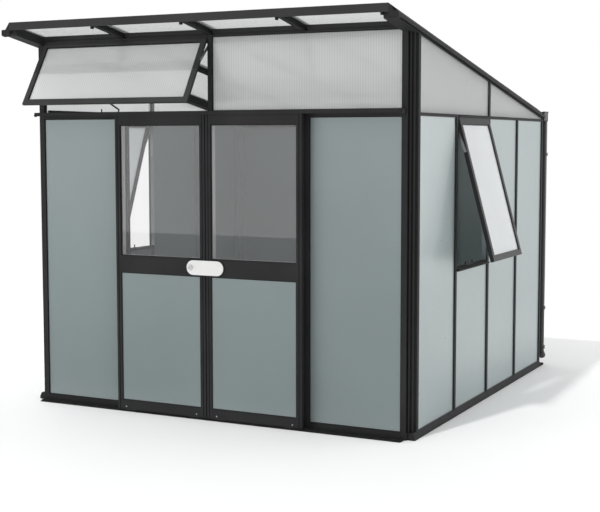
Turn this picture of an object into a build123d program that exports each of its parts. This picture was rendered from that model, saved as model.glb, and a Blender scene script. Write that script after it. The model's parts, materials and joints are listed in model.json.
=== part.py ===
"""Lean-to aluminium garden shed with two sliding doors, a front vent and two side windows.

Millimetres. +X runs to the right along the front, +Y from the front to the back and +Z up.
The origin is on the ground, in the middle of the footprint that the whole shed takes up.
"""

from math import cos, radians, sin, tan
import os

from build123d import *

os.makedirs("parts", exist_ok=True)

# Glazing grid
module = 622.0
front_bays = 4
side_bays = 4
sight_width = 31.0
web_width = 14.0
frame_depth = 40.0
flange_thickness = 8.0
jamb_wing = 22.0

# Plan: how far the corner posts stand out past the outermost grid lines
corner_reach = 65.0
corner_setback = 75.0
post_width = 77.0
post_depth = 85.0
post_flange = 31.0

# Heights
base_height = 42.0
door_head = 1822.0
rail_height = 40.0
clerestory_height = 440.0
plate_height = 61.0
gable_rail_height = 15.0
gable_rail_upstand = 38.0
gable_rail_gap = 1.5
eaves_beam_height = 30.0

# Base and door track
base_outset = 7.0
sill_slope_height = 24.0
sill_slope_depth = 13.0
base_front_inset = 12.0
rear_corner_inset = 45.0
rear_lip_reach = 30.0
rear_lip_thickness = 6.0
rear_lip_height = 14.0
track_width = 60.0
track_height = 10.0
track_end_inset = 12.0
track_rib_width = 5.0
track_rib_height = 8.0
track_step_width = 12.0
track_step_height = 5.0

# Roof
roof_pitch = 9.75
front_overhang = 285.0
cap_rise = 12.0
roof_panel_thickness = 10.0
rafter_depth = 29.0
rafter_flange_width = 48.0
rafter_flange_thickness = 6.0
rafter_web_width = 22.0
verge_rafter_depth = 53.0
verge_rafter_width = 81.0
glazing_bar_width = 40.0
fascia_height = 48.0
fascia_thickness = 4.0
fascia_flange = 50.0
corner_cap_length = 23.0
corner_cap_floor = 61.0
corner_cap_sole = 24.0
corner_cap_step = 30.0
corner_cap_lip = 33.0
corner_cap_round = 6.0
verge_drop = 49.0
verge_lip = 21.0
verge_skin = 4.0
verge_overlap = 15.0
verge_reach = 60.0
verge_outset = 16.0
roof_panel_joint = 5.0

# Front wall plate
plate_band_reach = 12.0
plate_recess_height = 18.0
plate_inner_drop = 36.0
plate_inner_thickness = 8.0
notch_clearance = 0.3

# Gutter and downpipe
gutter_inset = 58.0
gutter_reach = 62.0
gutter_wall = 4.0
gutter_back_height = 64.0
gutter_front_height = 72.0
gutter_end_cap = 4.0
roof_into_gutter = 24.0
pipe_radius = 26.0
pipe_wall = 3.0
pipe_clearance = 10.0
pipe_end_inset = 20.0
pipe_bend_height = 120.0
pipe_bend_radius = 40.0
pipe_shoe_angle = 50.0
pipe_shoe_length = 45.0
pipe_mouth_depth = 25.0
pipe_collar_radius = 33.0
pipe_collar_height = 24.0
pipe_clip_height = 22.0
pipe_low_clip = 420.0
pipe_high_clip_drop = 255.0

# Panels
panel_thickness = 6.0
polycarbonate_thickness = 10.0

# Door hood, which hides the top of the leaves
hood_reach = 74.0
hood_skin = 4.0
hood_top_thickness = 6.0
hood_front_height = 22.0
hood_end_reach = 8.0
hood_end_cap = 5.0

# Door leaves
leaf_clearance = 5.0
leaf_thickness = 28.0
leaf_overlap = 21.0
leaf_meeting_gap = 6.0
leaf_floor_clearance = 6.0
leaf_top_clearance = 6.0
leaf_stile = 35.0
leaf_bottom_rail_top = 74.0
leaf_mid_rail_bottom = 875.0
leaf_mid_rail_top = 979.0
leaf_head_sight = 42.0
leaf_glass_thickness = 5.0
leaf_glass_setback = 10.0
leaf_panel_setback = 5.0
leaf_groove_width = 5.0
leaf_groove_depth = 4.0
glide_length = 60.0
glide_width = 16.0
glide_inset = 90.0
glide_clearance = 0.3

# Catch that bridges the two leaves
catch_length = 253.0
catch_height = 88.0
catch_thickness = 5.0
catch_clearance = 6.0
catch_pivot_from_end = 25.5
catch_fit = 0.3
knob_collar_radius = 13.0
knob_shaft_radius = 8.0
knob_head_radius = 15.0
knob_head_length = 14.0
knob_edge = 2.0

# Front vent sash and the side window sashes
sash_side_clearance = 3.0
sash_wide_clearance = 13.0
sash_hinge_gap = 0.3
sash_bar = 33.0
sash_pane_thickness = 6.0
sash_pane_setback = 8.0
vent_thickness = 16.0
vent_angle = 31.0
vent_foot_clearance = 50.0
vent_hinge_inset = 0.5
window_thickness = 25.0
window_length = 898.0
window_angle = 15.0
window_top_bar = 42.0
window_opening_height = 917.0
window_sill_height = 18.0
window_sill_reach = 16.0
window_sill_fall = 10.0

# Stays
stay_width = 16.0
stay_thickness = 2.5
stay_inset = 24.0
stay_strip_length = 230.0
stay_pivot_drop = 45.0
window_stay_reach = 215.0
vent_stay_reach = 160.0
stay_pin_radius = 4.0
stay_sash_gap = 0.2
peg_radius = 4.0
peg_height = 20.0
peg_spacing = 128.0
peg_setback = 10.0
vent_peg_offset = 28.0
vent_bar_offset = 60.0
vent_bar_rise = 38.0
stay_bar_width = 12.0
stay_bar_thickness = 4.0

# Grid and wall planes worked out from the sizes above
half_front = front_bays * module / 2
side_x = half_front + corner_reach
wall_depth = side_bays * module + 2 * corner_setback
pipe_x = side_x - pipe_end_inset
pipe_from_wall = pipe_clearance + pipe_radius
shoe_rad = radians(pipe_shoe_angle)
shoe_run = pipe_bend_radius * (1 - cos(shoe_rad)) + pipe_shoe_length * sin(shoe_rad)
rear_reach = pipe_from_wall + shoe_run + pipe_radius * cos(shoe_rad)
front_y = front_overhang - (front_overhang + wall_depth + rear_reach) / 2
rear_y = front_y + wall_depth
middle_y = (front_y + rear_y) / 2
post_x = side_x - post_width
rail_top = door_head + rail_height
plate_bottom = rail_top + clerestory_height
panel_lap = (sight_width - web_width) / 2
fascia_y = front_y - front_overhang
slope = tan(radians(roof_pitch))
roof_front_top = plate_bottom + plate_height + slope * front_overhang
down_slope = (0, cos(radians(roof_pitch)), -sin(radians(roof_pitch)))
gutter_y = rear_y - gutter_inset
panel_rear_y = gutter_y + roof_into_gutter
panel_top_drop = cap_rise
panel_bottom_drop = cap_rise + roof_panel_thickness
rafter_drop = panel_bottom_drop + rafter_depth
verge_rafter_drop = panel_bottom_drop + verge_rafter_depth
verge_x = side_x + verge_outset - verge_reach
verge_outer_x = verge_x + verge_reach
corner_cap_drop = verge_drop + corner_cap_lip
front_grid = [(i - front_bays / 2) * module for i in range(1, front_bays)]
side_grid = [front_y + corner_setback + i * module for i in range(1, side_bays)]
window_bay = (side_grid[0], side_grid[1])


def roof_top(y):
    """Height of the roof's top surface at a distance y along the shed."""
    return roof_front_top - slope * (y - fascia_y)


gable_rail_top = roof_top(gutter_y) - verge_rafter_drop - gable_rail_gap
gable_rail_bottom = gable_rail_top - gable_rail_height
window_sill_top = gable_rail_bottom - window_opening_height
vent_length = (clerestory_height - sash_hinge_gap - vent_foot_clearance) / cos(radians(vent_angle))


def fill(x, y, z, mode=Mode.ADD):
    """Add a block between two limits on each axis to the part being built."""
    with Locations(((x[0] + x[1]) / 2, (y[0] + y[1]) / 2, (z[0] + z[1]) / 2)):
        Box(x[1] - x[0], y[1] - y[0], z[1] - z[0], mode=mode)


def prism_along_x(outline, start, end, mode=Mode.ADD):
    """Extrude an outline of (y, z) points from x = start to x = end."""
    with BuildSketch(Plane.YZ.offset(start)) as profile:
        with BuildLine():
            Polyline(*outline, close=True)
        make_face()
    extrude(profile.sketch, amount=end - start, mode=mode)


def prism_along_y(outline, start, end, mode=Mode.ADD):
    """Extrude an outline of (x, z) points level from y = start to y = end."""
    with BuildSketch(Plane.XZ.offset(-start)) as profile:
        with BuildLine():
            Polyline(*outline, close=True)
        make_face()
    extrude(profile.sketch, amount=start - end, mode=mode)


def prism_along_z(outline, start, end, mode=Mode.ADD):
    """Extrude an outline of (x, y) points from z = start to z = end."""
    with BuildSketch(Plane.XY.offset(start)) as profile:
        with BuildLine():
            Polyline(*outline, close=True)
        make_face()
    extrude(profile.sketch, amount=end - start, mode=mode)


def prism_down_roof(outline, start, end, mode=Mode.ADD):
    """Extrude an outline of (x, drop below the roof top) points down the slope, with plumb ends."""
    top = roof_top(start)
    with BuildSketch(Plane.XZ.offset(-start)) as profile:
        with BuildLine():
            Polyline(*[(x, top - drop) for x, drop in outline], close=True)
        make_face()
    extrude(profile.sketch, amount=(end - start) / down_slope[1], dir=down_slope, mode=mode)


def under_roof_plane(drop):
    """Plane parallel to the roof at a drop below its top surface, facing up."""
    return Plane(
        origin=(0, fascia_y, roof_front_top - drop),
        x_dir=(1, 0, 0),
        z_dir=(0, sin(radians(roof_pitch)), cos(radians(roof_pitch))),
    )


def rectangle_points(u, v):
    """Corners of a rectangle between two limits on each axis."""
    return [(u[0], v[0]), (u[1], v[0]), (u[1], v[1]), (u[0], v[1])]


def finish(part, label):
    """Label a finished piece and write it."""
    part.label = label
    export_step(part, f"parts/{label}.step")


# Front base
base_half = side_x - frame_depth
base_outer = side_x + base_outset
with BuildPart() as front_base:
    fill((-base_half, base_half), (front_y, front_y + frame_depth), (0, base_height))
finish(front_base.part, "front_base")

# Rear base, with a low lip that turns up behind the wall and runs out under the rear corners
with BuildPart() as rear_base:
    lip_y = rear_y + rear_lip_reach
    fill((-base_half, base_half), (rear_y - frame_depth, rear_y), (0, base_height))
    prism_along_x(
        [
            (rear_y - rear_corner_inset, 0),
            (lip_y, 0),
            (lip_y, rear_lip_height),
            (lip_y - rear_lip_thickness, rear_lip_height),
            (lip_y - rear_lip_thickness, rear_lip_thickness),
            (rear_y - rear_corner_inset, rear_lip_thickness),
        ],
        -base_outer,
        base_outer,
    )
finish(rear_base.part, "rear_base")

# Side bases, with a sill that slopes outwards
with BuildPart() as side_bases:
    prism_along_y(
        [
            (base_half, 0),
            (base_outer, 0),
            (base_outer, base_height - sill_slope_height),
            (base_outer - sill_slope_depth, base_height),
            (base_half, base_height),
        ],
        front_y + base_front_inset,
        rear_y - rear_corner_inset,
    )
    mirror(about=Plane.YZ)
finish(side_bases.part, "side_bases")

# Door track in front of the base, with a stepped front and a guide rib behind the leaves
with BuildPart() as door_track:
    track_front = front_y - track_width
    prism_along_x(
        [
            (track_front, 0),
            (front_y, 0),
            (front_y, track_height + track_rib_height),
            (front_y - track_rib_width, track_height + track_rib_height),
            (front_y - track_rib_width, track_height),
            (track_front + track_step_width, track_height),
            (track_front + track_step_width, track_step_height),
            (track_front, track_step_height),
        ],
        -(half_front + track_end_inset),
        half_front + track_end_inset,
    )
finish(door_track.part, "door_track")

# Corner posts: a front flange, a side flange and stepped ribs in the open corner between them
flange_end = post_x + post_flange
rib_step = (side_x - flange_end) / 6
lap_x = post_x + panel_lap
lap_y = post_depth - panel_lap
post_outline = [
    (post_x, 0),
    (flange_end, 0),
    (flange_end, 4 * rib_step),
    (flange_end + rib_step, 4 * rib_step),
    (flange_end + rib_step, 2 * rib_step),
    (flange_end + 2 * rib_step, 2 * rib_step),
    (flange_end + 2 * rib_step, 5 * rib_step),
    (flange_end + 3 * rib_step, 5 * rib_step),
    (flange_end + 3 * rib_step, 4 * rib_step),
    (flange_end + 4 * rib_step, 4 * rib_step),
    (flange_end + 4 * rib_step, 7 * rib_step),
    (side_x, 7 * rib_step),
    (side_x, post_depth),
    (side_x - flange_thickness, post_depth),
    (side_x - flange_thickness, lap_y),
    (side_x - frame_depth, lap_y),
    (side_x - frame_depth, frame_depth),
    (lap_x, frame_depth),
    (lap_x, flange_thickness),
    (post_x, flange_thickness),
]

with BuildPart() as front_posts:
    prism_along_z([(x, front_y + y) for x, y in post_outline], base_height, roof_front_top)
    split(bisect_by=under_roof_plane(verge_rafter_drop), keep=Keep.BOTTOM)
    mirror(about=Plane.YZ)
finish(front_posts.part, "front_posts")

with BuildPart() as rear_posts:
    prism_along_z([(x, rear_y - y) for x, y in post_outline], base_height, gable_rail_bottom)
    mirror(about=Plane.YZ)
finish(rear_posts.part, "rear_posts")


def mullion_facing_front(x, start, end, face_y, inward):
    """T-shaped mullion whose sight flange lies in the wall plane face_y; inward is 1 or -1 along Y."""
    half_sight = sight_width / 2
    half_web = web_width / 2
    behind = face_y + inward * flange_thickness
    inner = face_y + inward * frame_depth
    prism_along_z(
        [
            (x - half_sight, face_y),
            (x + half_sight, face_y),
            (x + half_sight, behind),
            (x + half_web, behind),
            (x + half_web, inner),
            (x - half_web, inner),
            (x - half_web, behind),
            (x - half_sight, behind),
        ],
        start,
        end,
    )


def mullion_facing_side(y, start, end):
    """T-shaped mullion in the right-hand side wall."""
    half_sight = sight_width / 2
    half_web = web_width / 2
    behind = side_x - flange_thickness
    inner = side_x - frame_depth
    prism_along_z(
        [
            (side_x, y - half_sight),
            (side_x, y + half_sight),
            (behind, y + half_sight),
            (behind, y + half_web),
            (inner, y + half_web),
            (inner, y - half_web),
            (behind, y - half_web),
            (behind, y - half_sight),
        ],
        start,
        end,
    )


# Door jambs on the outer grid lines, wider on the panels' side, and the short mullion above the head rail
with BuildPart() as front_mullions:
    for side in (-1, 1):
        mullion_facing_front(side * module, base_height, door_head, front_y, 1)
        wing = sorted(side * (module + sight_width / 2 + reach) for reach in (0, jamb_wing))
        fill(wing, (front_y, front_y + flange_thickness), (base_height, door_head))
    mullion_facing_front(0, rail_top, plate_bottom, front_y, 1)
finish(front_mullions.part, "front_mullions")

with BuildPart() as rear_mullions:
    for grid_x in front_grid:
        mullion_facing_front(grid_x, base_height, gable_rail_bottom - eaves_beam_height, rear_y, -1)
finish(rear_mullions.part, "rear_mullions")

with BuildPart() as upper_mullion:
    mullion_facing_side(middle_y, gable_rail_top, roof_front_top)
    split(bisect_by=under_roof_plane(verge_rafter_drop), keep=Keep.BOTTOM)

with BuildPart() as side_mullions:
    for grid_y in side_grid:
        mullion_facing_side(grid_y, base_height, gable_rail_bottom)
    add(upper_mullion.part)
    mirror(about=Plane.YZ)
finish(side_mullions.part, "side_mullions")

# Head rail between the front posts, over the doors and the fixed panels
with BuildPart() as head_rail:
    fill((-post_x, post_x), (front_y, front_y + frame_depth), (door_head, rail_top))
finish(head_rail.part, "head_rail")

# Hood that runs in front of the head rail and hides the top of the leaves
hood_front = front_y - hood_reach
with BuildPart() as door_hood:
    hood_half = half_front + hood_end_reach
    prism_along_x(
        [
            (front_y, door_head),
            (front_y, rail_top),
            (hood_front, rail_top),
            (hood_front, rail_top - hood_front_height),
            (hood_front + hood_skin, rail_top - hood_front_height),
            (hood_front + hood_skin, rail_top - hood_top_thickness),
            (front_y - hood_skin, rail_top - hood_top_thickness),
            (front_y - hood_skin, door_head),
        ],
        -hood_half,
        hood_half,
    )
    for side in (-1, 1):
        ends = sorted((side * hood_half, side * (hood_half - hood_end_cap)))
        fill(ends, (hood_front, front_y), (rail_top - hood_front_height, rail_top))
finish(door_hood.part, "door_hood")


def rafter_outline(x):
    """Rafter section: a wide top flange under the roof panels, a web and a bottom flange."""
    half_top = rafter_flange_width / 2
    half_web = rafter_web_width / 2
    half_bottom = sight_width / 2
    top = panel_bottom_drop
    return [
        (x - half_top, top),
        (x + half_top, top),
        (x + half_top, top + rafter_flange_thickness),
        (x + half_web, top + rafter_flange_thickness),
        (x + half_web, rafter_drop - rafter_flange_thickness),
        (x + half_bottom, rafter_drop - rafter_flange_thickness),
        (x + half_bottom, rafter_drop),
        (x - half_bottom, rafter_drop),
        (x - half_bottom, rafter_drop - rafter_flange_thickness),
        (x - half_web, rafter_drop - rafter_flange_thickness),
        (x - half_web, top + rafter_flange_thickness),
        (x - half_top, top + rafter_flange_thickness),
    ]


verge_rafter_x = side_x - verge_rafter_width
cap_fall = (verge_drop + verge_skin - panel_top_drop) / (verge_reach - verge_skin)
shoulder_drop = panel_top_drop + cap_fall * (side_x - verge_x)

# Wall plate over the front wall: a band that stands forward, an inner leg behind, notched round each rafter
with BuildPart() as front_wall_plate:
    recess_top = plate_bottom + plate_recess_height
    band_y = front_y - plate_band_reach
    plate_leg = front_y + frame_depth
    plate_back = plate_leg + plate_inner_thickness
    prism_along_x(
        [
            (front_y, plate_bottom),
            (plate_leg, plate_bottom),
            (plate_leg, plate_bottom - plate_inner_drop),
            (plate_back, plate_bottom - plate_inner_drop),
            (plate_back, roof_top(plate_back) - panel_bottom_drop),
            (band_y, roof_top(band_y) - panel_bottom_drop),
            (band_y, recess_top),
            (front_y, recess_top),
        ],
        -verge_rafter_x,
        verge_rafter_x,
    )
    notch_half = rafter_flange_width / 2 + notch_clearance
    notch_drop = (0, rafter_drop + notch_clearance)
    for grid_x in front_grid:
        prism_down_roof(
            rectangle_points((grid_x - notch_half, grid_x + notch_half), notch_drop),
            band_y - plate_band_reach,
            plate_back + plate_band_reach,
            Mode.SUBTRACT,
        )
finish(front_wall_plate.part, "front_wall_plate")

# Rafters from the fascia to the gutter, and the deeper pair along the verges
with BuildPart() as rafters:
    for grid_x in front_grid:
        prism_down_roof(rafter_outline(grid_x), fascia_y + fascia_thickness, gutter_y)
finish(rafters.part, "rafters")

cap_y = fascia_y + corner_cap_length
with BuildPart() as verge_rafters:
    prism_down_roof(
        [
            (verge_rafter_x, panel_bottom_drop),
            (verge_x, panel_bottom_drop),
            (verge_x, panel_top_drop),
            (side_x, shoulder_drop),
            (side_x, verge_rafter_drop),
            (verge_rafter_x, verge_rafter_drop),
        ],
        cap_y,
        gutter_y,
    )
    mirror(about=Plane.YZ)
finish(verge_rafters.part, "verge_rafters")

# Verge caps: they lap the outer roof panels, slope outwards and end in a drip lip
with BuildPart() as verge_caps:
    prism_down_roof(
        [
            (verge_x - verge_overlap, panel_top_drop),
            (verge_x - verge_overlap, panel_top_drop / 2),
            (verge_x, 0),
            (verge_outer_x, verge_drop),
            (verge_outer_x, verge_drop + verge_lip),
            (verge_outer_x - verge_skin, verge_drop + verge_lip),
            (verge_outer_x - verge_skin, verge_drop + verge_skin),
            (verge_x, panel_top_drop),
        ],
        cap_y,
        gutter_y,
    )
    front_cut = fascia_y + fascia_flange
    fill(
        (verge_x - 2 * verge_overlap, verge_x),
        (fascia_y, front_cut),
        (roof_top(front_cut) - verge_drop, roof_front_top),
        Mode.SUBTRACT,
    )
    mirror(about=Plane.YZ)
finish(verge_caps.part, "verge_caps")

# Moulded caps that close the front ends of the verges
with BuildPart() as verge_end_caps:
    prism_down_roof(
        [
            (verge_x, 0),
            (verge_x + corner_cap_step, verge_drop - corner_cap_round),
            (verge_outer_x - corner_cap_round, verge_drop - corner_cap_round),
            (verge_outer_x, verge_drop),
            (verge_outer_x, corner_cap_drop - corner_cap_round),
            (verge_outer_x - corner_cap_round, corner_cap_drop),
            (verge_outer_x - corner_cap_sole, corner_cap_drop),
            (verge_x, corner_cap_floor),
        ],
        fascia_y,
        cap_y,
    )
    mirror(about=Plane.YZ)
finish(verge_end_caps.part, "verge_end_caps")

# Fascia along the front edge, with a flange over the roof panels
with BuildPart() as fascia:
    fascia_back = fascia_y + fascia_thickness
    prism_along_x(
        [
            (fascia_y, roof_front_top - fascia_height),
            (fascia_back, roof_front_top - fascia_height),
            (fascia_back, roof_top(fascia_back)),
            (fascia_y, roof_front_top),
        ],
        -verge_x,
        verge_x,
    )
    flange_y = fascia_y + fascia_flange
    prism_along_x(
        [
            (fascia_back, roof_top(fascia_back) - panel_top_drop),
            (flange_y, roof_top(flange_y) - panel_top_drop),
            (flange_y, roof_top(flange_y)),
            (fascia_back, roof_top(fascia_back)),
        ],
        -verge_x,
        verge_x,
    )
finish(fascia.part, "fascia")

# Roof panels, one a bay
bay_edges = [-verge_x] + front_grid + [verge_x]
with BuildPart() as roof_panels:
    for left, right in zip(bay_edges, bay_edges[1:]):
        left_edge = left if left == -verge_x else left + roof_panel_joint
        right_edge = right if right == verge_x else right - roof_panel_joint
        prism_down_roof(
            rectangle_points((left_edge, right_edge), (panel_top_drop, panel_bottom_drop)),
            fascia_back,
            panel_rear_y,
        )
finish(roof_panels.part, "roof_panels")

# Glazing bars over the joints between the roof panels
with BuildPart() as glazing_bars:
    for grid_x in front_grid:
        half_bar = glazing_bar_width / 2
        prism_down_roof(
            [
                (grid_x - half_bar, panel_top_drop),
                (grid_x - half_bar, panel_top_drop / 2),
                (grid_x - half_bar / 2, 0),
                (grid_x + half_bar / 2, 0),
                (grid_x + half_bar, panel_top_drop / 2),
                (grid_x + half_bar, panel_top_drop),
            ],
            flange_y,
            panel_rear_y,
        )
finish(glazing_bars.part, "glazing_bars")

# Fixed front panels on either side of the doors
with BuildPart() as front_panels:
    fill(
        (module + web_width / 2, post_x + panel_lap),
        (front_y + flange_thickness, front_y + flange_thickness + panel_thickness),
        (base_height, door_head),
    )
    mirror(about=Plane.YZ)
finish(front_panels.part, "front_panels")

# Clerestory panel over the right-hand half of the front
with BuildPart() as clerestory_panel:
    fill(
        (web_width / 2, post_x + panel_lap),
        (front_y + flange_thickness, front_y + flange_thickness + polycarbonate_thickness),
        (rail_top, plate_bottom),
    )
    panel_back_y = front_y + flange_thickness + polycarbonate_thickness
    fill(
        (verge_rafter_x, side_x),
        (front_y, panel_back_y),
        (roof_top(panel_back_y) - verge_rafter_drop, plate_bottom),
        Mode.SUBTRACT,
    )
finish(clerestory_panel.part, "clerestory_panel")

# Rails across the side walls, with an upstand on the inner side
with BuildPart() as gable_rails:
    fill(
        (side_x - frame_depth, side_x),
        (front_y + post_depth, gutter_y),
        (gable_rail_bottom, gable_rail_top),
    )
    fill(
        (side_x - frame_depth - flange_thickness, side_x - frame_depth),
        (front_y + post_depth, rear_y - post_depth),
        (gable_rail_bottom, gable_rail_top + gable_rail_upstand),
    )
    split(bisect_by=under_roof_plane(verge_rafter_drop), keep=Keep.BOTTOM)
    mirror(about=Plane.YZ)
finish(gable_rails.part, "gable_rails")

# Side wall panels: whole bays, and a short one below the window
side_edges = [front_y + lap_y] + side_grid + [rear_y - lap_y]
side_panel_x = (side_x - flange_thickness - panel_thickness, side_x - flange_thickness)
sill_bottom = window_sill_top - window_sill_height


def side_wall_panels():
    """Panels of the right-hand side wall, each lapped behind the flanges beside it."""
    for near, far in zip(side_edges, side_edges[1:]):
        near_edge = near if near == side_edges[0] else near + web_width / 2
        far_edge = far if far == side_edges[-1] else far - web_width / 2
        top = sill_bottom if near == window_bay[0] else gable_rail_bottom
        fill(side_panel_x, (near_edge, far_edge), (base_height, top))


with BuildPart() as right_wall_panels:
    side_wall_panels()
finish(right_wall_panels.part, "right_wall_panels")

with BuildPart() as left_wall_panels:
    side_wall_panels()
    mirror(about=Plane.YZ, mode=Mode.REPLACE)
finish(left_wall_panels.part, "left_wall_panels")

# Gable glazing: two sheets a side, cut to the slope of the roof
gable_glazing_x = side_x - flange_thickness - polycarbonate_thickness
with BuildPart() as gable_glazing:
    for near, far in (
        (front_y + lap_y, middle_y - web_width / 2),
        (middle_y + web_width / 2, rear_y - post_depth),
    ):
        prism_along_x(
            [
                (near, gable_rail_top),
                (far, gable_rail_top),
                (far, roof_top(far) - verge_rafter_drop),
                (near, roof_top(near) - verge_rafter_drop),
            ],
            gable_glazing_x,
            side_x - flange_thickness,
        )
    mirror(about=Plane.YZ)
finish(gable_glazing.part, "gable_glazing")

# Rear wall
with BuildPart() as eaves_beam:
    fill(
        (-post_x, post_x),
        (rear_y - frame_depth, rear_y),
        (gable_rail_bottom - eaves_beam_height, gable_rail_bottom),
    )
finish(eaves_beam.part, "eaves_beam")

rear_edges = [-lap_x] + front_grid + [lap_x]
with BuildPart() as rear_panels:
    for left, right in zip(rear_edges, rear_edges[1:]):
        left_edge = left if left == -lap_x else left + web_width / 2
        right_edge = right if right == lap_x else right - web_width / 2
        fill(
            (left_edge, right_edge),
            (rear_y - flange_thickness - panel_thickness, rear_y - flange_thickness),
            (base_height, gable_rail_bottom - eaves_beam_height),
        )
finish(rear_panels.part, "rear_panels")

# Gutter on top of the rear wall, closed at both ends
gutter_back = rear_y + gutter_reach
gutter_floor = gable_rail_bottom
with BuildPart() as gutter:
    prism_along_x(
        [
            (gutter_y, gutter_floor),
            (gutter_back, gutter_floor),
            (gutter_back, gutter_floor + gutter_front_height),
            (gutter_back - gutter_wall, gutter_floor + gutter_front_height),
            (gutter_back - gutter_wall, gutter_floor + gutter_wall),
            (gutter_y + gutter_wall, gutter_floor + gutter_wall),
            (gutter_y + gutter_wall, gutter_floor + gutter_back_height),
            (gutter_y, gutter_floor + gutter_back_height),
        ],
        -side_x,
        side_x,
    )
    for side in (-1, 1):
        ends = sorted((side * side_x, side * (side_x + gutter_end_cap)))
        fill(ends, (gutter_y, gutter_back), (gutter_floor, gutter_floor + gutter_front_height))
finish(gutter.part, "gutter")

# Downpipe from the gutter, with a shoe that throws the water back from the wall
pipe_y = rear_y + pipe_from_wall
shoe_start = (
    pipe_y + pipe_bend_radius * (1 - cos(shoe_rad)),
    pipe_bend_height - pipe_bend_radius * sin(shoe_rad),
)
shoe_end = (
    shoe_start[0] + pipe_shoe_length * sin(shoe_rad),
    shoe_start[1] - pipe_shoe_length * cos(shoe_rad),
)
with BuildPart() as downpipe:
    with BuildLine(Plane.YZ.offset(pipe_x)):
        drop = Line((pipe_y, gutter_floor), (pipe_y, pipe_bend_height))
        bend = TangentArc(drop @ 1, shoe_start, tangent=drop % 1)
        Line(bend @ 1, shoe_end)
    with BuildSketch(Plane.XY.offset(gutter_floor)):
        with Locations((pipe_x, pipe_y)):
            Circle(pipe_radius)
    sweep()
    mouth = Plane(
        origin=(pipe_x, shoe_end[0], shoe_end[1]),
        x_dir=(1, 0, 0),
        z_dir=(0, sin(shoe_rad), -cos(shoe_rad)),
    )
    with BuildSketch(mouth):
        Circle(pipe_radius - pipe_wall)
    extrude(amount=-pipe_mouth_depth, mode=Mode.SUBTRACT)
    with BuildSketch(Plane.XY.offset(pipe_bend_height)):
        with Locations((pipe_x, pipe_y)):
            Circle(pipe_collar_radius)
    extrude(amount=pipe_collar_height)
    for level in (pipe_low_clip, gutter_floor - pipe_high_clip_drop):
        with BuildSketch(Plane.XY.offset(level)):
            with Locations((pipe_x, pipe_y)):
                Circle(pipe_collar_radius)
        extrude(amount=pipe_clip_height)
        fill(
            (pipe_x - pipe_radius / 2, pipe_x + pipe_radius / 2),
            (rear_y, pipe_y),
            (level, level + pipe_clip_height),
        )
finish(downpipe.part, "downpipe")

# Window sills
with BuildPart() as window_sills:
    prism_along_y(
        [
            (side_x - frame_depth, sill_bottom),
            (side_x + window_sill_reach, sill_bottom),
            (side_x + window_sill_reach, window_sill_top - window_sill_fall),
            (side_x - flange_thickness, window_sill_top),
            (side_x - frame_depth, window_sill_top),
        ],
        window_bay[0] + sight_width / 2,
        window_bay[1] - sight_width / 2,
    )
    mirror(about=Plane.YZ)
finish(window_sills.part, "window_sills")


def sash_frame(plane, width, length, thickness, top_bar):
    """Sash that hangs from the plane's origin: local x across, local y down, local z inwards."""
    with BuildSketch(plane) as frame_outline:
        with Locations((width / 2, length / 2)):
            Rectangle(width, length)
        with Locations((width / 2, (top_bar + length - sash_bar) / 2)):
            Rectangle(width - 2 * sash_bar, length - sash_bar - top_bar, mode=Mode.SUBTRACT)
    extrude(frame_outline.sketch, amount=thickness)


def sash_pane(plane, width, length, top_bar):
    """Pane that fills a sash, set back from its outer face."""
    with BuildSketch(plane.offset(sash_pane_setback)) as pane_outline:
        with Locations((width / 2, (top_bar + length - sash_bar) / 2)):
            Rectangle(width - 2 * sash_bar, length - sash_bar - top_bar)
    extrude(pane_outline.sketch, amount=sash_pane_thickness)


# Vent sash over the left-hand half of the front, hung open
vent_rad = radians(vent_angle)
vent_left = -post_x + sash_wide_clearance
vent_width = -sight_width / 2 - sash_side_clearance - vent_left
vent_plane = Plane(
    origin=(vent_left, front_y + vent_hinge_inset, plate_bottom - sash_hinge_gap),
    x_dir=(1, 0, 0),
    z_dir=(0, cos(vent_rad), -sin(vent_rad)),
)
with BuildPart() as vent_sash:
    sash_frame(vent_plane, vent_width, vent_length, vent_thickness, sash_bar)
finish(vent_sash.part, "vent_sash")

with BuildPart() as vent_pane:
    sash_pane(vent_plane, vent_width, vent_length, sash_bar)
finish(vent_pane.part, "vent_pane")

# Side window sashes, hung open
window_rad = radians(window_angle)
window_near = window_bay[0] + sight_width / 2 + sash_wide_clearance
window_width = module - sight_width - sash_wide_clearance - sash_side_clearance
window_plane = Plane(
    origin=(side_x, window_near, gable_rail_bottom - sash_hinge_gap),
    x_dir=(0, 1, 0),
    z_dir=(-cos(window_rad), 0, -sin(window_rad)),
)
with BuildPart() as right_window_sash:
    sash_frame(window_plane, window_width, window_length, window_thickness, window_top_bar)
finish(right_window_sash.part, "right_window_sash")

with BuildPart() as left_window_sash:
    sash_frame(window_plane, window_width, window_length, window_thickness, window_top_bar)
    mirror(about=Plane.YZ, mode=Mode.REPLACE)
finish(left_window_sash.part, "left_window_sash")

with BuildPart() as window_panes:
    sash_pane(window_plane, window_width, window_length, window_top_bar)
    mirror(about=Plane.YZ)
finish(window_panes.part, "window_panes")


def flat_bar(start, end, width, thickness, thin_direction):
    """Flat bar from one point to another, thin in the given direction."""
    run = Vector(*end) - Vector(*start)
    with BuildSketch(Plane(origin=start, x_dir=thin_direction, z_dir=run)) as section:
        Rectangle(thickness, width)
    extrude(section.sketch, amount=run.length)


def pin(base, direction, length):
    """Round pin that stands on a base point."""
    with BuildSketch(Plane(origin=base, z_dir=direction)) as section:
        Circle(stay_pin_radius)
    extrude(section.sketch, amount=length)


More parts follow.
